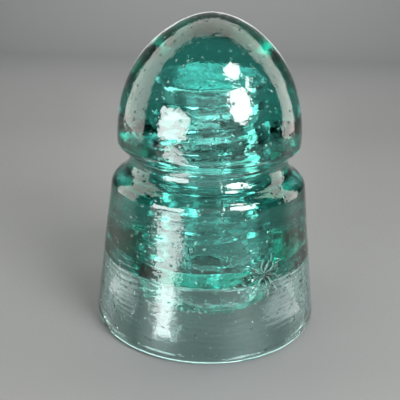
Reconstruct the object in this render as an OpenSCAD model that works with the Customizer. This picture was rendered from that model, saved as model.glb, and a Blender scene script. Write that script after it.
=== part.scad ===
// Pin-type glass insulator, pressed in one piece.
// The base plane is z = 0, the axis of symmetry is Z and the crown points up.
// A threaded pinhole runs up the axis from the mouth of the inner petticoat.

/* [Overall] */
// Height from the resting rim to the top of the crown
height = 100; // [96:0.5:106]
// Outer diameter at the foot of the skirt
base_d = 75.8; // [73:0.2:80]
// Outer diameter of the skirt just under the shoulder
shoulder_d = 63.9; // [62:0.1:65]
// Height of the shoulder's top
shoulder_z = 50.8; // [50:0.1:51.6]
// Largest outer diameter of the crown, at its lip
crown_d = 59.3; // [58.6:0.1:60]
// Height of the crown's largest diameter
crown_z = 61; // [60.7:0.1:61.4]

/* [Wire groove] */
// Diameter at the bottom of the wire groove
groove_d = 51.6; // [50.6:0.1:52.4]
// Height of the bottom of the wire groove
groove_z = 55.7; // [55.4:0.1:56]

/* [Pinhole] */
// Height of the pinhole's flat ceiling
ceiling_z = 76.8; // [74:0.1:79]
// Diameter of the threaded wall just under the ceiling
thread_top_d = 24.8; // [24:0.1:25.6]
// Growth of the threaded wall's diameter per millimetre of depth (1/16 inch per inch)
thread_taper = 0.0625; // [0.05:0.0005:0.07]
// Distance from one turn of the thread to the next (four to the inch)
thread_pitch = 6.35; // [6:0.05:6.6]
// Height of the foot of the ridge where the thread begins
thread_end_z = 29.8; // [28:0.1:32]
// Turn about the axis where the thread begins, from the +X side
thread_start = 180; // [120:5:240]
// How far the thread ridge stands in from the wall
ridge_h = 1.1; // [0.8:0.05:1.4]
// Width of the ridge where it meets the wall
ridge_foot_w = 3.6; // [3:0.1:4]
// Width of the ridge's crest
ridge_crest_w = 1.6; // [1.2:0.1:2.2]
// Diameter at the foot of the smooth throat below the thread
throat_d = 28.4; // [28:0.1:28.8]
// Diameter of the plain guide bore in the inner petticoat
guide_d = 29.8; // [29.4:0.1:31]
// Height where the guide bore begins
guide_z = 23.8; // [22.5:0.1:25]

/* [Petticoats] */
// Outer diameter of the inner petticoat
petticoat_d = 45.2; // [44.6:0.1:46]
// Height of the inner petticoat's rim
petticoat_z = 9.6; // [8:0.1:12]
// Height of the roof of the space between the petticoats, beside the inner one
roof_z = 25; // [24.2:0.1:26]
// Height of the roof's outer edge, beside the skirt
roof_edge_z = 22.9; // [22:0.1:24]
// Diameter of the skirt's inner wall near the roof
skirt_in_top_d = 61.2; // [60.4:0.1:61.8]
// Diameter of the skirt's inner wall at the rim
skirt_in_foot_d = 68.4; // [67.6:0.1:68.8]

/* [Mould seam] */
// How far the two mould seams stand out
seam_h = 0.2; // [0.15:0.05:0.3]
// Width of a mould seam
seam_w = 0.7; // [0.5:0.05:1]
// Turn of the seams about the axis, from straight front and back
seam_turn = 8; // [0:1:40]

/* [Hidden] */
$fn = 144;
glass = [0.36, 0.74, 0.68, 0.75];

// rounding radii
rim_out_round = 1.9;
rim_in_round = 1.2;
shoulder_round = 5;
lip_round = 2.8;
petticoat_round = 1.4;
roof_round = 1.5;
ceiling_round = 1.5;
// angles of the outward normal where the shoulder and the lip run into the groove
shoulder_end = 62;
lip_end = -70;
// exponents of the crown's curve, in plan and in height
crown_plan = 1.76;
crown_rise = 2.19;

skirt_slope = atan2(base_d / 2 - shoulder_d / 2, shoulder_z);
// centres of the roundings at the two edges of the annular roof, which leans down outwards between them
roof_in_c = [petticoat_d / 2 + roof_round, roof_z - roof_round];
roof_out_c = [skirt_in_top_d / 2 - roof_round, roof_edge_z - roof_round];
roof_lean = atan2(roof_in_c.y - roof_out_c.y, roof_out_c.x - roof_in_c.x);

// radius of the threaded wall at height z
function thread_wall(z) = thread_top_d / 2 + thread_taper / 2 * (ceiling_z - z);

// points of an arc about [cx, cz], from angle a0 to a1
function arc(cx, cz, r, a0, a1, n = 8) =
    [for (i = [0:n]) let (a = a0 + (a1 - a0) * i / n) [cx + r * cos(a), cz + r * sin(a)]];

// radius of a groove arc from the bottom of the groove to the tangent at point s, whose normal is at a
function blend_r(s, a) =
    ((groove_d / 2 - s.x) * cos(a) + (groove_z - s.y) * sin(a))
        / (pow(sin(a), 2) - (1 - cos(a)) * cos(a));

shoulder_c = [shoulder_d / 2 - shoulder_round, shoulder_z - shoulder_round];
lip_c = [crown_d / 2 - lip_round, crown_z];
low_r = blend_r(shoulder_c + shoulder_round * [cos(shoulder_end), sin(shoulder_end)], shoulder_end);
high_r = blend_r(lip_c + lip_round * [cos(lip_end), sin(lip_end)], lip_end);

// outer surface above the rim, from the foot of the skirt to the lip, pushed out by out
function side_points(out = 0) = concat(
    arc(base_d / 2 - rim_out_round, rim_out_round, rim_out_round + out, 0, skirt_slope, 2),
    arc(shoulder_c.x, shoulder_c.y, shoulder_round + out, skirt_slope, shoulder_end, 10),
    arc(groove_d / 2 + low_r, groove_z, low_r - out, 180 + shoulder_end, 180, 8),
    arc(groove_d / 2 + high_r, groove_z, high_r - out, 174, 180 + lip_end, 8),
    arc(lip_c.x, lip_c.y, lip_round + out, lip_end, 0, 8)
);

// the crown from its lip to its top
function crown_points() =
    [for (a = [3:3:90]) [
        crown_d / 2 * pow(cos(a), 2 / crown_plan),
        crown_z + (height - crown_z) * pow(sin(a), 2 / crown_rise)
    ]];

module outer_solid() {
    rotate_extrude()
        polygon(concat(
            [[0, 0]],
            arc(base_d / 2 - rim_out_round, rim_out_round, rim_out_round, -90, -15, 5),
            side_points(),
            crown_points()
        ));
}

// the annular space between the skirt and the inner petticoat, open at the rim
module skirt_space() {
    rim_c = [skirt_in_foot_d / 2 + rim_in_round, rim_in_round];
    rotate_extrude()
        polygon(concat(
            [[0, -1], [rim_c.x, -1]],
            arc(rim_c.x, rim_c.y, rim_in_round, 270, 180, 5),
            arc(roof_out_c.x, roof_out_c.y, roof_round, 0, 90 - roof_lean, 6),
            arc(roof_in_c.x, roof_in_c.y, roof_round, 90 - roof_lean, 180, 6),
            arc(petticoat_d / 2 - petticoat_round, petticoat_z + petticoat_round, petticoat_round, 0, -90, 5),
            [[0, petticoat_z]]
        ));
}

// the pinhole, from the petticoat's rim to its flat ceiling, without the thread
module pinhole() {
    mouth_c = [guide_d / 2 + petticoat_round, petticoat_z + petticoat_round];
    throat_top = thread_end_z - 1;
    throat_draft = 0.15;
    rotate_extrude()
        polygon(concat(
            [[0, petticoat_z - 1], [mouth_c.x, petticoat_z - 1]],
            arc(mouth_c.x, mouth_c.y, petticoat_round, 270, 180, 5),
            [[guide_d / 2, guide_z - 0.4], [throat_d / 2, guide_z + 0.4]],
            [[throat_d / 2 - throat_draft, throat_top - 1]],
            [[thread_wall(throat_top), throat_top]],
            arc(thread_wall(ceiling_z) - ceiling_round, ceiling_z - ceiling_round, ceiling_round, 0, 90, 5),
            [[0, ceiling_z]]
        ));
}

// one glass ridge that winds up the pinhole's wall as a right-hand thread and sinks into the wall at both ends
module thread_ridge() {
    steps_per_turn = 24;
    sunk = 0.8;
    run_out = 0.2;
    z0 = thread_end_z + ridge_foot_w / 2;
    turns = (ceiling_z - ceiling_round - ridge_foot_w / 2 - z0) / thread_pitch;
    steps = floor(turns * steps_per_turn);
    grow = (ridge_foot_w - ridge_crest_w) / 2 / ridge_h * sunk;
    sections = [for (i = [0:steps]) let (
        t = i / steps_per_turn,
        z = z0 + thread_pitch * t,
        h = min(ridge_h, -0.4 + (ridge_h + 0.4) * min(t, steps / steps_per_turn - t) / run_out),
        wall = thread_wall(z),
        a = 360 * t + thread_start
    ) [for (q = [
            [wall + sunk, z - ridge_foot_w / 2 - grow],
            [wall - h, z - ridge_crest_w / 2],
            [wall - h, z + ridge_crest_w / 2],
            [wall + sunk, z + ridge_foot_w / 2 + grow]
        ]) [q.x * cos(a), q.x * sin(a), q.y]]];
    points = [for (s = sections) each s];
    sides = [for (i = [0:steps - 1]) for (j = [0:3]) let (
        p = 4 * i + j,
        q = 4 * i + (j + 1) % 4
    ) each [[p, q + 4, q], [p, p + 4, q + 4]]];
    last = 4 * steps;
    ends = [[1, 2, 3], [0, 1, 3], [last + 2, last + 1, last], [last + 3, last + 2, last]];
    polyhedron(points, concat(sides, ends));
}

// the raised lines where the two halves of the mould met, from the skirt up over the lip
module mould_seams() {
    seam_foot_z = 6;
    seam_head_z = crown_z;
    intersection() {
        rotate_extrude()
            polygon(concat([[10, 0]], side_points(seam_h), [[10, crown_z]]));
        rotate([0, 0, seam_turn])
            translate([-seam_w / 2, -base_d, seam_foot_z])
                cube([seam_w, 2 * base_d, seam_head_z - seam_foot_z]);
    }
}

module glass_shell() {
    color(glass)
        union() {
            difference() {
                union() {
                    outer_solid();
                    mould_seams();
                }
                skirt_space();
                pinhole();
            }
            thread_ridge();
        }
}

glass_shell();
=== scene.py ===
import math
import random

import bmesh
import bpy
import numpy as np
from mathutils import Matrix, Vector, noise


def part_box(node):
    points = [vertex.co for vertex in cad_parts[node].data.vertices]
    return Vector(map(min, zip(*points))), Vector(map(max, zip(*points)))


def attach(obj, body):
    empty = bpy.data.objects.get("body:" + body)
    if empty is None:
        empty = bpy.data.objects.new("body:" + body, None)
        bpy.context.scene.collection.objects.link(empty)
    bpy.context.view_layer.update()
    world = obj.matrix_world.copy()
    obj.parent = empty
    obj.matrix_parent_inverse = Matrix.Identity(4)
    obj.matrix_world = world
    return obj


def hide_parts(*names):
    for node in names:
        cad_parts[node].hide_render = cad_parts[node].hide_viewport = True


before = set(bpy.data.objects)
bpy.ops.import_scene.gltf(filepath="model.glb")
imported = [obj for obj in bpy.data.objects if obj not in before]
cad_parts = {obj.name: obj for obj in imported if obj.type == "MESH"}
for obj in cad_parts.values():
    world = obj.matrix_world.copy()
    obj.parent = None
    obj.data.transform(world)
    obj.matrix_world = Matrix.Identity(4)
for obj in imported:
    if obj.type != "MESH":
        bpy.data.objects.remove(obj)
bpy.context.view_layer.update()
shell_low, shell_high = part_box("glass_shell")

# The looks of a pin insulator pressed from aqua glass: one closed shell with its thread, mould seams,
# ripples, bubbles and small damage. Lengths of the glass are in millimetres until the mesh is made.
MM = 0.001
HEIGHT = (shell_high.z - shell_low.z) / MM
BASE_R = (shell_high.x - shell_low.x) / 2 / MM

# outside, with the exponents of the crown's curve in plan and in height, and in degrees the normals where the
# shoulder and the lip run into the groove
SHOULDER_R = 31.95
SHOULDER_Z = 50.8
SHOULDER_ROUND = 5.0
CROWN_R = 29.65
CROWN_Z = 61.0
CROWN_PLAN = 1.76
CROWN_RISE = 2.19
LIP_ROUND = 2.8
GROOVE_R = 25.8
GROOVE_Z = 55.7
SHOULDER_END = 62
LIP_END = -70
RIM_OUT_ROUND = 1.9
RIM_IN_ROUND = 1.2

# pinhole and thread: the ridge's run-out is in turns, and so is the angle where it starts
CEILING_Z = 76.8
CEILING_ROUND = 1.5
THREAD_TOP_R = 12.4
THREAD_TAPER = 0.03125
THREAD_PITCH = 6.35
THREAD_END_Z = 29.8
THREAD_START_TURN = 0.5
RIDGE_H = 1.1
RIDGE_FOOT_W = 3.6
RIDGE_CREST_W = 1.6
RIDGE_RUN_OUT = 0.2
THROAT_R = 14.2
THROAT_DRAFT = 0.15
GUIDE_R = 14.9
GUIDE_Z = 23.8
GUIDE_STEP_HALF = 0.4
CEILING_MIDDLE_R = 0.6

# petticoats and the roof of the space between them
PETTICOAT_R = 22.6
PETTICOAT_Z = 9.6
PETTICOAT_ROUND = 1.4
ROOF_Z = 25.0
ROOF_EDGE_Z = 22.9
ROOF_ROUND = 1.5
SKIRT_IN_TOP_R = 30.6
SKIRT_IN_FOOT_R = 34.2

# mould seams, turned about the axis from straight front and back
SEAM_TURN = 8
SEAM_H = 0.2
SEAM_HALF_W = 0.35
SEAM_FOOT_Z = 6.0

# how finely the mesh is cut: columns round the axis, and the most that two rings are apart
COLUMNS = 160
RING_STEP = 0.9
THREAD_RING_STEP = 0.42
# degrees from a mould seam at which extra columns stand, and the room that they clear among the even ones
SEAM_COLUMNS = (-1.0, -0.7, -0.45, -0.2, 0, 0.2, 0.45, 0.7, 1.0)
SEAM_CLEARANCE = 0.9

# unevenness of hand-pressed glass, as waves of (height, width, seed), and how much of it the flat ceiling has
OUTER_WAVES = ((0.16, 13, 1.3), (0.05, 5, 2.9))
INNER_WAVES = ((0.14, 8, 6.1), (0.05, 3, 9.7))
CEILING_CALM = 0.3

# small bubbles spread all through the glass, the first few of them bigger: the ranges of their radius and of
# their length over it, the most that they tilt, in radians, and the least glass that covers them
SEED_COUNT = 330
SEED_SIZES = (0.13, 0.3)
BIG_SEED_COUNT = 12
BIG_SEED_SIZES = (0.35, 0.6)
SEED_STRETCH = (1.0, 1.7)
SEED_TILT = 0.6
SEED_COVER = 0.6

# one flat ring-like bubble low in the wall and a nest of bubbles beside the crown's lip
RING_BUBBLE = (-4.4, -31.6, 35.2)
RING_BUBBLE_RADII = (0.35, 0.9, 1.5)
BUBBLE_NEST = (20.3, -18.4, 69.0)
NEST_COUNT = 9
NEST_REACH = 1.6
NEST_SIZES = (0.2, 0.45)
NEST_STRETCH = 1.3

# a star-shaped bruise on the skirt and a chip in the rim, with how deep and how wide each dents the outside
BRUISE = (17.7, -29.9, 27.2)
BRUISE_DEPTH = 0.12
BRUISE_SPREAD = 0.9
BRUISE_RAYS = 9
CRACK_REACH = (1.3, 2.6)
CRACK_HALF_W = 0.5
CRACK_HALF_T = 0.05
CHIP = (-31.6, -20.9, 1.4)
CHIP_DEPTH = 0.7
CHIP_SPREAD = 1.3

# glass and floor
GLASS_TINT = (0.117, 0.717, 0.667, 1)
GLASS_TINT_PER_M = 68
GLASS_IOR = 1.52
DUST_COLOUR = (0.86, 0.9, 0.86, 1)
# roughness of the haziest patches and of the cracked glass
HAZE = 0.07
CRACKED = 0.5
# in metres: the heights between which the wrinkles fade, to this share, and where the bruise's rays fade
WRINKLE_FADE = (0.055, 0.065)
UPPER_WRINKLES = 0.2
STAR_FADE = (0.0015, 0.0075)
FLOOR_COLOUR = (0.15, 0.153, 0.153, 1)

# light: from here on, lengths are in metres. The radiance of each light is in W/m2/sr.
WORLD_COLOUR = (0.8, 0.88, 0.95, 1)
WORLD_STRENGTH = 0.06
WINDOW = 15
WINDOW_CARD = 9
ROUND_LAMPS = 22
TUNNEL_LEFT = 3.5
TUNNEL_RIGHT = 4.2
TUNNEL_TOP = 2.0
SIDE_CARD = 1.8
BACK_STRIP = 2.2
BACKDROP_LAMP = 9
BACK_PANEL = 0.11
FRONT_PANEL = 0.8
FRONT_CARD = 0.35
# the tunnel's radius, panels and colour, and where the panels start and end in Y at these degrees over the
# object, counted from its right side
TUNNEL_R = 0.5
TUNNEL_PANELS = 12
TUNNEL_COLOUR = (1, 0.97, 0.91)
TUNNEL_DEGREES = (0, 45, 90, 135, 180)
TUNNEL_START = (0.035, 0.05, 0.07, 0.0, -0.09)
TUNNEL_END = (0.31, 0.27, 0.43, 0.30, 0.34)
# the window's light on the table: a strip of cards that widens away from its foot, cut at these distances
STRIP_FOOT = (-0.012, -0.034)
STRIP_AZIMUTH = -42
STRIP_SPREAD = 25
STRIP_ENDS = (0.015, 0.04, 0.09, 0.18, 0.4)
CARD_HEIGHT = 0.003

# camera: its place in metres, its angles in degrees, its lens and sensor in millimetres
CAMERA_PLACE = (0, -0.1837, 0.1068)
CAMERA_PITCH = 20.17
CAMERA_ROLL = 1.29
CAMERA_YAW = -0.79
LENS = 52.07
SENSOR = 36
VIEW_TRANSFORM = "Standard"


def arc(cx, cz, r, a0, a1, n=12):
    """Points of an arc about (cx, cz), from angle a0 to a1 in degrees."""
    return [(cx + r * math.cos(a), cz + r * math.sin(a)) for a in np.radians(np.linspace(a0, a1, n + 1))]


def blend_radius(point, angle):
    """Radius of a groove arc from the groove's bottom to the tangent at point, whose normal is at angle."""
    a = math.radians(angle)
    rise = (GROOVE_R - point[0]) * math.cos(a) + (GROOVE_Z - point[1]) * math.sin(a)
    return rise / (math.sin(a) ** 2 - (1 - math.cos(a)) * math.cos(a))


def spaced(points, step):
    """The same line with points added so that no two are further apart than step."""
    out = [points[0]]
    for (r0, z0), (r1, z1) in zip(points, points[1:]):
        pieces = max(1, math.ceil(math.hypot(r1 - r0, z1 - z0) / step))
        out += [(r0 + (r1 - r0) * i / pieces, z0 + (z1 - z0) * i / pieces) for i in range(1, pieces + 1)]
    return out


def thread_wall(z):
    """Radius of the pinhole's threaded wall at height z."""
    return THREAD_TOP_R + THREAD_TAPER * (CEILING_Z - z)


def outer_profile():
    """The outside, from the foot of the rim up to the top of the crown."""
    slope = math.degrees(math.atan2(BASE_R - SHOULDER_R, SHOULDER_Z))
    shoulder_c = (SHOULDER_R - SHOULDER_ROUND, SHOULDER_Z - SHOULDER_ROUND)
    shoulder = arc(*shoulder_c, SHOULDER_ROUND, slope, SHOULDER_END)
    lip = arc(CROWN_R - LIP_ROUND, CROWN_Z, LIP_ROUND, LIP_END, 0)
    low_r = blend_radius(shoulder[-1], SHOULDER_END)
    high_r = blend_radius(lip[0], LIP_END)
    crown = [
        (
            CROWN_R * math.cos(a) ** (2 / CROWN_PLAN),
            CROWN_Z + (HEIGHT - CROWN_Z) * math.sin(a) ** (2 / CROWN_RISE),
        )
        for a in np.linspace(0, math.pi / 2, 80)[1:-1]
    ]
    return (
        arc(BASE_R - RIM_OUT_ROUND, RIM_OUT_ROUND, RIM_OUT_ROUND, -90, slope, 8)
        + shoulder
        + arc(GROOVE_R + low_r, GROOVE_Z, low_r, 180 + SHOULDER_END, 180)[1:]
        + arc(GROOVE_R + high_r, GROOVE_Z, high_r, 180, 180 + LIP_END)[1:]
        + lip[1:]
        + crown
    )


def pinhole_profile():
    """The pinhole without its thread, from its ceiling down to the petticoat's rim."""
    throat_top = THREAD_END_Z - 1
    mouth_c = (GUIDE_R + PETTICOAT_ROUND, PETTICOAT_Z + PETTICOAT_ROUND)
    corner = arc(thread_wall(CEILING_Z) - CEILING_ROUND, CEILING_Z - CEILING_ROUND, CEILING_ROUND, 90, 0, 6)
    wall = [
        (thread_wall(throat_top), throat_top),
        (THROAT_R - THROAT_DRAFT, throat_top - 1),
        (THROAT_R, GUIDE_Z + GUIDE_STEP_HALF),
        (GUIDE_R, GUIDE_Z - GUIDE_STEP_HALF),
    ]
    return [(CEILING_MIDDLE_R, CEILING_Z)] + corner + wall + arc(*mouth_c, PETTICOAT_ROUND, 180, 270, 6)


def skirt_profile():
    """The underside from the petticoat's rim through the annular space to the skirt's rim."""
    edge = arc(PETTICOAT_R - PETTICOAT_ROUND, PETTICOAT_Z + PETTICOAT_ROUND, PETTICOAT_ROUND, -90, 0, 6)
    inner_c = (PETTICOAT_R + ROOF_ROUND, ROOF_Z - ROOF_ROUND)
    outer_c = (SKIRT_IN_TOP_R - ROOF_ROUND, ROOF_EDGE_Z - ROOF_ROUND)
    lean = math.degrees(math.atan2(inner_c[1] - outer_c[1], outer_c[0] - inner_c[0]))
    roof = arc(*inner_c, ROOF_ROUND, 180, 90 - lean, 8) + arc(*outer_c, ROOF_ROUND, 90 - lean, 0, 8)
    return edge + roof + arc(SKIRT_IN_FOOT_R + RIM_IN_ROUND, RIM_IN_ROUND, RIM_IN_ROUND, 180, 270, 6)


def ridge(z, turn):
    """How far the thread's ridge stands in from the wall, at height z and an angle in turns."""
    start = THREAD_END_Z + RIDGE_FOOT_W / 2
    end = (CEILING_Z - CEILING_ROUND - RIDGE_FOOT_W / 2 - start) / THREAD_PITCH
    climbed = (z - start) / THREAD_PITCH
    turn -= THREAD_START_TURN
    nearest = min(max(round(climbed - turn) + turn, 0), end)
    away = abs(climbed - nearest) * THREAD_PITCH
    side = (RIDGE_FOOT_W / 2 - away) / ((RIDGE_FOOT_W - RIDGE_CREST_W) / 2)
    fade = min(1, nearest / RIDGE_RUN_OUT, (end - nearest) / RIDGE_RUN_OUT)
    side = min(1, max(0, side))
    return RIDGE_H * fade * side * side * (3 - 2 * side)


def ripples(x, y, z, waves):
    """How far smooth noise made of these (height, width, seed) waves pushes the surface at a place."""
    return sum(
        height * noise.noise(Vector((x / width + seed, y / width - seed, z / width)))
        for height, width, seed in waves
    )


def seam(x, y, z):
    """How far a mould seam stands out at a place on the outside."""
    if not SEAM_FOOT_Z < z < CROWN_Z:
        return 0
    turn = math.radians(SEAM_TURN)
    across = x * math.cos(turn) + y * math.sin(turn)
    uneven = 0.75 + 0.5 * noise.noise(Vector((7.1, 0.3 * z, 0.2)))
    return SEAM_H * uneven * max(0, 1 - abs(across) / SEAM_HALF_W)


def near(x, y, z, place, radius):
    """1 at the given place, falling off smoothly to nothing at about twice the radius."""
    away = (x - place[0]) ** 2 + (y - place[1]) ** 2 + (z - place[2]) ** 2
    return math.exp(-away / radius ** 2)


def outer_push(x, y, z):
    """How far the outside stands proud of its true form, in millimetres."""
    chip = CHIP_DEPTH * near(x, y, z, CHIP, CHIP_SPREAD)
    dent = BRUISE_DEPTH * near(x, y, z, BRUISE, BRUISE_SPREAD)
    return ripples(x, y, z, OUTER_WAVES) + seam(x, y, z) - chip - dent


def inner_push(x, y, z):
    """How far the inside stands proud of its true form, in millimetres."""
    calm = CEILING_CALM if z > CEILING_Z - 1 else 1
    return calm * ripples(x, y, z, INNER_WAVES)


def column_angles():
    """Angles of the mesh's columns: even all round, with fine ones across the two mould seams."""
    fine = [
        math.radians(seam_angle + offset)
        for seam_angle in (SEAM_TURN - 90, SEAM_TURN + 90)
        for offset in SEAM_COLUMNS
    ]
    even = [2 * math.pi * (i + 0.5) / COLUMNS - math.pi for i in range(COLUMNS)]
    even = [a for a in even if min(abs(a - f) for f in fine) > math.radians(SEAM_CLEARANCE)]
    return sorted(fine + even)


def shell_profile():
    """(r, z, is_outside) all round the cut glass, from the middle of the ceiling to the top of the crown."""
    hole = spaced(pinhole_profile(), THREAD_RING_STEP)
    inside = hole + spaced(skirt_profile(), RING_STEP)
    outside = spaced(outer_profile(), RING_STEP)
    return [(r, z, False) for r, z in inside] + [(r, z, True) for r, z in outside]


def shell_mesh(profile):
    """Vertices and faces of the closed shell, with its thread and the uneven surface of pressed glass."""
    angles = column_angles()
    around = len(angles)
    points = [(0, 0, CEILING_Z)]
    for i, (r, z, is_outside) in enumerate(profile):
        before, after = profile[max(0, i - 1)], profile[min(len(profile) - 1, i + 1)]
        dr, dz = after[0] - before[0], after[1] - before[1]
        length = math.hypot(dr, dz)
        out_r, out_z = dz / length, -dr / length
        threaded = not is_outside and r < THROAT_R and THREAD_END_Z - 1 < z < CEILING_Z - CEILING_ROUND
        for a in angles:
            x, y = r * math.cos(a), r * math.sin(a)
            push = outer_push(x, y, z) if is_outside else inner_push(x, y, z)
            ring_r = r + out_r * push - (ridge(z, a / (2 * math.pi)) if threaded else 0)
            points.append((ring_r * math.cos(a), ring_r * math.sin(a), z + out_z * push))
    points.append((0, 0, HEIGHT))
    faces = []
    for k in range(around):
        k2 = (k + 1) % around
        faces.append((0, 1 + k2, 1 + k))
        for i in range(len(profile) - 1):
            low, high = 1 + i * around, 1 + (i + 1) * around
            faces.append((low + k, low + k2, high + k2, high + k))
        last = 1 + (len(profile) - 1) * around
        faces.append((last + k, last + k2, len(points) - 1))
    return fitted(points), faces


def fitted(points):
    """The points stretched by a hair so that their box is the CAD box."""
    points = np.array(points)
    points[:, 2] = (points[:, 2] - points[:, 2].min()) / np.ptp(points[:, 2]) * HEIGHT
    points[:, :2] *= BASE_R / np.abs(points[:, :2]).max()
    return points


def depth_in_glass(r, z, profile):
    """Distance from a place in the glass to the nearest surface, or -1 outside the glass."""
    line = np.array([(p[0], p[1]) for p in profile])
    start, end = line, np.roll(line, -1, axis=0)
    crossing = (start[:, 1] > z) != (end[:, 1] > z)
    rise = np.where(crossing, end[:, 1] - start[:, 1], 1)
    cut_r = start[:, 0] + (z - start[:, 1]) / rise * (end[:, 0] - start[:, 0])
    if np.sum(crossing & (cut_r > r)) % 2 == 0:
        return -1
    return np.hypot(line[:, 0] - r, line[:, 1] - z).min()


def unit_ball():
    """Points and faces of a ball of radius 1."""
    bm = bmesh.new()
    bmesh.ops.create_icosphere(bm, subdivisions=2, radius=1)
    points = np.array([v.co[:] for v in bm.verts])
    faces = [tuple(v.index for v in f.verts) for f in bm.faces]
    bm.free()
    return points, faces


def void(ball, centre, radii, turn):
    """A closed hollow in the glass: the ball stretched, turned and moved, with its faces looking inwards."""
    points, faces = ball
    turned = np.array(
        Matrix.Rotation(turn[2], 3, "Z") @ Matrix.Rotation(turn[1], 3, "Y") @ Matrix.Rotation(turn[0], 3, "X")
    )
    return (points * radii) @ turned.T + centre, [f[::-1] for f in faces]


def seeds(profile, rng):
    """The small bubbles that the glass is full of: (centre, radii, turn)."""
    found = []
    while len(found) < SEED_COUNT:
        big = len(found) < BIG_SEED_COUNT
        size = rng.uniform(*(BIG_SEED_SIZES if big else SEED_SIZES))
        stretch = rng.uniform(*SEED_STRETCH)
        r = BASE_R * math.sqrt(rng.random())
        z = HEIGHT * rng.random()
        a = rng.uniform(-math.pi, math.pi)
        if depth_in_glass(r, z, profile) > size * stretch + SEED_COVER:
            centre = (r * math.cos(a), r * math.sin(a), z)
            tilt = rng.uniform(-SEED_TILT, SEED_TILT)
            found.append((centre, (size, size, size * stretch), (tilt, 0, a)))
    return found


def bruise(rng):
    """The star of thin cracks that run into the skirt from a hard knock: (centre, radii, turn) of each."""
    lean, tilt, gap, depth, uneven = 0.35, 0.7, 0.4, 0.9, 0.25
    facing = math.atan2(BRUISE[1], BRUISE[0])
    inwards = Vector((-math.cos(facing), -math.sin(facing), 0))
    level = Vector((-math.sin(facing), math.cos(facing), 0))
    cracks = []
    for i in range(BRUISE_RAYS):
        spin = 2 * math.pi * (i + rng.uniform(-uneven, uneven)) / BRUISE_RAYS
        reach = rng.uniform(*CRACK_REACH)
        along = (level * math.cos(spin) + Vector((0, 0, 1)) * math.sin(spin) + inwards * lean).normalized()
        across = along.cross(inwards).normalized()
        thin = (across * tilt + along.cross(across) * tilt).normalized()
        middle = Vector(BRUISE) + along * (reach + gap) + inwards * depth
        turn = Matrix((along, thin.cross(along), thin)).transposed().to_euler()
        cracks.append((tuple(middle), (reach, CRACK_HALF_W, CRACK_HALF_T), tuple(turn)))
    return cracks


def large_bubbles(rng):
    """The few bubbles that catch the eye: a flat ring low in the wall and a nest beside the crown's lip."""
    facing = math.atan2(RING_BUBBLE[1], RING_BUBBLE[0])
    found = [(RING_BUBBLE, RING_BUBBLE_RADII, (0, 0, facing))]
    for _ in range(NEST_COUNT):
        place = tuple(c + rng.uniform(-NEST_REACH, NEST_REACH) for c in BUBBLE_NEST)
        size = rng.uniform(*NEST_SIZES)
        found.append((place, (size, size, size * NEST_STRETCH), (0, 0, 0)))
    return found


def glass_shell():
    """The whole insulator as one object: the cast shell and, in the same mesh, the hollows in its glass."""
    profile = shell_profile()
    points, faces = shell_mesh(profile)
    rng = random.Random(7)
    hollows = seeds(profile, rng) + bruise(rng) + large_bubbles(rng)
    ball = unit_ball()
    parts = [(points, faces)] + [void(ball, *hollow) for hollow in hollows]
    all_points, all_faces = [], []
    for part_points, part_faces in parts:
        first = len(all_points)
        all_points += [tuple(c * MM for c in p) for p in part_points]
        all_faces += [tuple(first + i for i in f) for f in part_faces]
    mesh = bpy.data.meshes.new("glass_shell_cast")
    mesh.from_pydata(all_points, [], all_faces)
    mesh.validate()
    mesh.shade_smooth()
    shell = bpy.data.objects.new("glass_shell_cast", mesh)
    bpy.context.scene.collection.objects.link(shell)
    return shell


def new_material(name):
    """A new material with its nodes, links and Principled BSDF."""
    material = bpy.data.materials.new(name)
    material.use_nodes = True
    nodes = material.node_tree.nodes
    return material, nodes, material.node_tree.links, nodes["Principled BSDF"]


def noise_texture(nodes, links, place, scale, detail, roughness=0.5):
    """The output of a noise texture with this many bumps a metre."""
    texture = nodes.new("ShaderNodeTexNoise")
    texture.inputs["Scale"].default_value = scale
    texture.inputs["Detail"].default_value = detail
    texture.inputs["Roughness"].default_value = roughness
    links.new(place, texture.inputs["Vector"])
    return texture.outputs["Fac"]


def ranged(nodes, links, value, low, high, to_low, to_high):
    """The value's range from low to high, mapped on to another range and held inside it."""
    node = nodes.new("ShaderNodeMapRange")
    for name, number in (("From Min", low), ("From Max", high), ("To Min", to_low), ("To Max", to_high)):
        node.inputs[name].default_value = number
    links.new(value, node.inputs["Value"])
    return node.outputs["Result"]


def maths(nodes, links, operation, first, second=None):
    """The output of a maths node whose inputs are numbers or other outputs."""
    node = nodes.new("ShaderNodeMath")
    node.operation = operation
    for socket, value in zip(node.inputs, (first, second)):
        if isinstance(value, (int, float)):
            socket.default_value = value
        elif value is not None:
            links.new(value, socket)
    return node.outputs["Value"]


def vector_maths(nodes, links, operation, first, second, output="Value"):
    """An output of a vector maths node between another output and a fixed vector."""
    node = nodes.new("ShaderNodeVectorMath")
    node.operation = operation
    links.new(first, node.inputs[0])
    node.inputs[1].default_value = second
    return node.outputs[output]


def wrinkles(nodes, links, place):
    """The fine level wrinkles where the gob met the cool mould, in patches."""
    wave = nodes.new("ShaderNodeTexWave")
    wave.bands_direction = "Z"
    for name, number in (("Scale", 170), ("Distortion", 5), ("Detail", 2), ("Detail Scale", 0.5)):
        wave.inputs[name].default_value = number
    links.new(place, wave.inputs["Vector"])
    patch = ranged(nodes, links, noise_texture(nodes, links, place, 70, 2), 0.42, 0.6, 0, 1)
    height = vector_maths(nodes, links, "DOT_PRODUCT", place, (0, 0, 1))
    lower = ranged(nodes, links, height, *WRINKLE_FADE, 1, UPPER_WRINKLES)
    return maths(nodes, links, "MULTIPLY", wave.outputs["Fac"], maths(nodes, links, "MULTIPLY", patch, lower))


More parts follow.
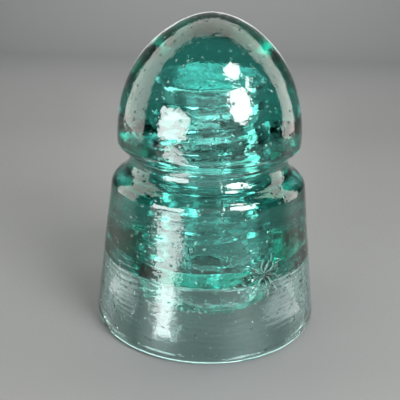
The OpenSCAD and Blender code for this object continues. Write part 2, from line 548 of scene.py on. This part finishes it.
def bruise_star(nodes, links, place):
    """Rays of cracked glass that spread from the bruise and fade within a few millimetres."""
    middle = Vector(BRUISE) * MM
    facing = math.atan2(middle.y, middle.x)
    from_middle = vector_maths(nodes, links, "SUBTRACT", place, middle, "Vector")
    across = vector_maths(nodes, links, "DOT_PRODUCT", from_middle, (-math.sin(facing), math.cos(facing), 0))
    above = vector_maths(nodes, links, "DOT_PRODUCT", from_middle, (0, 0, 1))
    angle = maths(nodes, links, "ARCTAN2", above, across)
    bent = maths(nodes, links, "ADD", angle, noise_texture(nodes, links, place, 300, 1))
    wave = maths(nodes, links, "SINE", maths(nodes, links, "MULTIPLY", bent, BRUISE_RAYS / 2))
    sharp = maths(nodes, links, "POWER", maths(nodes, links, "ABSOLUTE", wave), 14)
    away = vector_maths(nodes, links, "DISTANCE", place, middle)
    return maths(nodes, links, "MULTIPLY", sharp, ranged(nodes, links, away, *STAR_FADE, 1, 0))


def aqua_glass():
    """Pressed aqua glass: clear, thick-tinted, with a rippled skin and patches of haze and handling wear."""
    material, nodes, links, principled = new_material("aqua_glass")
    principled.inputs["Transmission Weight"].default_value = 1
    principled.inputs["IOR"].default_value = GLASS_IOR
    place = nodes.new("ShaderNodeTexCoord").outputs["Object"]

    skin = noise_texture(nodes, links, place, 260, 3)
    grit = noise_texture(nodes, links, place, 1500, 2)
    specks = nodes.new("ShaderNodeTexVoronoi")
    specks.inputs["Scale"].default_value = 420
    links.new(place, specks.inputs["Vector"])
    speck = ranged(nodes, links, specks.outputs["Distance"], 0.0, 0.2, 1, 0)
    star = bruise_star(nodes, links, place)
    normal = None
    for height, strength, distance in (
        (skin, 0.5, 0.0003),
        (grit, 0.25, 0.0001),
        (speck, 0.8, 0.0003),
        (wrinkles(nodes, links, place), 1, 0.00004),
        (star, 1, 0.0009),
    ):
        bump = nodes.new("ShaderNodeBump")
        bump.inputs["Strength"].default_value = strength
        bump.inputs["Distance"].default_value = distance
        links.new(height, bump.inputs["Height"])
        if normal:
            links.new(normal, bump.inputs["Normal"])
        normal = bump.outputs["Normal"]
    links.new(normal, principled.inputs["Normal"])

    haze = ranged(nodes, links, noise_texture(nodes, links, place, 90, 4, 0.6), 0.55, 0.8, 0, HAZE)
    cracked = ranged(nodes, links, star, 0.2, 0.8, 0, CRACKED)
    links.new(maths(nodes, links, "ADD", haze, cracked), principled.inputs["Roughness"])
    dust = noise_texture(nodes, links, place, 700, 5, 0.7)
    film = nodes.new("ShaderNodeMix")
    film.data_type = "RGBA"
    film.inputs["A"].default_value = (1, 1, 1, 1)
    film.inputs["B"].default_value = DUST_COLOUR
    links.new(ranged(nodes, links, dust, 0.45, 0.75, 0, 1), film.inputs["Factor"])
    links.new(film.outputs["Result"], principled.inputs["Base Color"])

    absorb = nodes.new("ShaderNodeVolumeAbsorption")
    absorb.inputs["Color"].default_value = GLASS_TINT
    absorb.inputs["Density"].default_value = GLASS_TINT_PER_M
    links.new(absorb.outputs["Volume"], nodes["Material Output"].inputs["Volume"])
    return material


def studio_floor():
    """A plain pale floor that curves up into a backdrop."""
    front, depth, half_w, top, bend = -2.4, 0.75, 2.4, 1.2, 0.3
    curve = [
        (depth + bend * math.sin(a), bend - bend * math.cos(a)) for a in np.linspace(0, math.pi / 2, 16)
    ]
    line = [(front, 0.0)] + curve + [(depth + bend, top)]
    points = [(x, y, z) for y, z in line for x in (-half_w, half_w)]
    faces = [(2 * i, 2 * i + 1, 2 * i + 3, 2 * i + 2) for i in range(len(line) - 1)]
    mesh = bpy.data.meshes.new("studio_floor")
    mesh.from_pydata(points, [], faces)
    mesh.shade_smooth()
    floor = bpy.data.objects.new("studio_floor", mesh)
    bpy.context.scene.collection.objects.link(floor)
    material, nodes, links, principled = new_material("pale_paper")
    principled.inputs["Base Color"].default_value = FLOOR_COLOUR
    place = nodes.new("ShaderNodeTexCoord").outputs["Object"]
    grain = noise_texture(nodes, links, place, 900, 4)
    links.new(ranged(nodes, links, grain, 0.3, 0.7, 0.4, 0.5), principled.inputs["Roughness"])
    mesh.materials.append(material)


def area_light(name, size, radiance, shape="RECTANGLE"):
    """A soft light of this width and height that the camera doesn't see."""
    light = bpy.data.lights.new(name, "AREA")
    light.shape = shape
    light.size, light.size_y = size
    area = size[0] * size[1] * (math.pi / 4 if shape == "ELLIPSE" else 1)
    light.energy = radiance * math.pi * area
    holder = bpy.data.objects.new(name, light)
    holder.visible_camera = False
    bpy.context.scene.collection.objects.link(holder)
    return holder


def aim(holder, place, towards):
    """Puts a light at a place, shining along a direction."""
    holder.location = place
    holder.rotation_euler = Vector(towards).to_track_quat("-Z", "Y").to_euler()


def lamp(name, azimuth, elevation, distance, size, radiance, shape="RECTANGLE"):
    """A light aimed at the object's middle. Azimuth is from straight in front, positive to the right."""
    a, e = math.radians(azimuth), math.radians(elevation)
    middle = Vector((0, 0, HEIGHT * MM / 2))
    place = middle + distance * Vector((math.sin(a) * math.cos(e), -math.cos(a) * math.cos(e), math.sin(e)))
    aim(area_light(name, size, radiance, shape), place, middle - place)


def card(name, place, azimuth, size, radiance):
    """A glowing card that lies just above the floor, size across and along its azimuth."""
    holder = area_light(name, size, radiance)
    turned = Matrix.Rotation(math.radians(azimuth), 4, "Z") @ Matrix.Rotation(math.pi, 4, "X")
    holder.matrix_world = Matrix.Translation((*place, CARD_HEIGHT)) @ turned


def window_cards():
    """The window's light on the table, as cards that grow wider away from the object."""
    turn = math.radians(STRIP_AZIMUTH)
    spread = 2 * math.tan(math.radians(STRIP_SPREAD / 2))
    for i, (near_end, far_end) in enumerate(zip(STRIP_ENDS, STRIP_ENDS[1:])):
        middle = (near_end + far_end) / 2
        place = (STRIP_FOOT[0] + middle * math.sin(turn), STRIP_FOOT[1] - middle * math.cos(turn))
        card(f"window_card_{i}", place, STRIP_AZIMUTH, (spread * middle, far_end - near_end), WINDOW_CARD)


def tunnel():
    """An arch of soft panels over the object, from its right side over the top to its left, behind it."""
    step = math.pi / TUNNEL_PANELS
    for i in range(TUNNEL_PANELS):
        a = (i + 0.5) * step
        turn = math.degrees(a)
        start = np.interp(turn, TUNNEL_DEGREES, TUNNEL_START)
        end = np.interp(turn, TUNNEL_DEGREES, TUNNEL_END)
        side = TUNNEL_RIGHT if turn < 90 else TUNNEL_LEFT
        radiance = TUNNEL_TOP + (side - TUNNEL_TOP) * abs(math.cos(a))
        panel = area_light(f"tunnel_{i}", (2 * TUNNEL_R * math.tan(step / 2), end - start), radiance)
        panel.data.color = TUNNEL_COLOUR
        place = Vector((TUNNEL_R * math.cos(a), (start + end) / 2, TUNNEL_R * math.sin(a)))
        panel.matrix_world = Matrix.Translation(place) @ Matrix.Rotation(math.pi / 2 - a, 4, "Y")


def studio_lights():
    """A window at the left front, round lamps at the right front, a tunnel over the top, and weaker fills."""
    world = bpy.data.worlds.new("studio")
    world.use_nodes = True
    world.node_tree.nodes["Background"].inputs["Color"].default_value = WORLD_COLOUR
    world.node_tree.nodes["Background"].inputs["Strength"].default_value = WORLD_STRENGTH
    bpy.context.scene.world = world

    lamp("window", azimuth=-43.5, elevation=8, distance=0.6, size=(0.38, 0.22), radiance=WINDOW)
    window_cards()
    for name, azimuth, elevation, distance, across in (
        ("round_lamp", 41, 27, 0.55, 0.3),
        ("high_lamp", 44, 55, 0.6, 0.17),
        ("side_lamp", 63, 39, 0.6, 0.08),
    ):
        lamp(name, azimuth, elevation, distance, (across, across), ROUND_LAMPS, "ELLIPSE")
    tunnel()

    lamp("back_strip", azimuth=186, elevation=15, distance=0.6, size=(0.4, 0.035), radiance=BACK_STRIP)
    back_panel = area_light("back_panel", (0.34, 0.12), BACK_PANEL)
    back_panel.data.spread = math.radians(40)
    aim(back_panel, place=(0, 0.6, 0.09), towards=(0, -1, 0))
    lamp("front_panel", azimuth=12, elevation=16, distance=0.62, size=(0.62, 0.42), radiance=FRONT_PANEL)
    card("front_card", place=(0.03, -0.125), azimuth=0, size=(0.14, 0.12), radiance=FRONT_CARD)
    aim(area_light("backdrop_lamp", (1.2, 0.3), BACKDROP_LAMP), place=(0, 0.42, 0.6), towards=(0, 1, -0.25))
    card("right_card", place=(0.066, -0.03), azimuth=90, size=(0.036, 0.042), radiance=SIDE_CARD)
    card("left_card", place=(-0.072, -0.022), azimuth=-90, size=(0.04, 0.034), radiance=SIDE_CARD)


def studio_camera():
    """A camera in front of the object and above it, tilted down, with a slight roll."""
    pitch, roll, yaw = (math.radians(a) for a in (CAMERA_PITCH, CAMERA_ROLL, CAMERA_YAW))
    ahead = Vector((math.sin(yaw) * math.cos(pitch), math.cos(yaw) * math.cos(pitch), -math.sin(pitch)))
    right = ahead.cross(Vector((0, 0, 1))).normalized()
    above = right.cross(ahead)
    across = right * math.cos(roll) + above * math.sin(roll)
    up = above * math.cos(roll) - right * math.sin(roll)
    lens = bpy.data.cameras.new("camera")
    lens.sensor_width = SENSOR
    lens.lens = LENS
    lens.clip_start = 0.005
    camera = bpy.data.objects.new("camera", lens)
    place = Matrix((across, up, -ahead)).transposed().to_4x4()
    place.translation = Vector(CAMERA_PLACE)
    camera.matrix_world = place
    bpy.context.scene.collection.objects.link(camera)
    bpy.context.scene.camera = camera


shell = glass_shell()
shell.data.materials.append(aqua_glass())
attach(shell, "root")
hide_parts("glass_shell")
studio_floor()
studio_lights()
studio_camera()
bpy.context.scene.view_settings.view_transform = VIEW_TRANSFORM
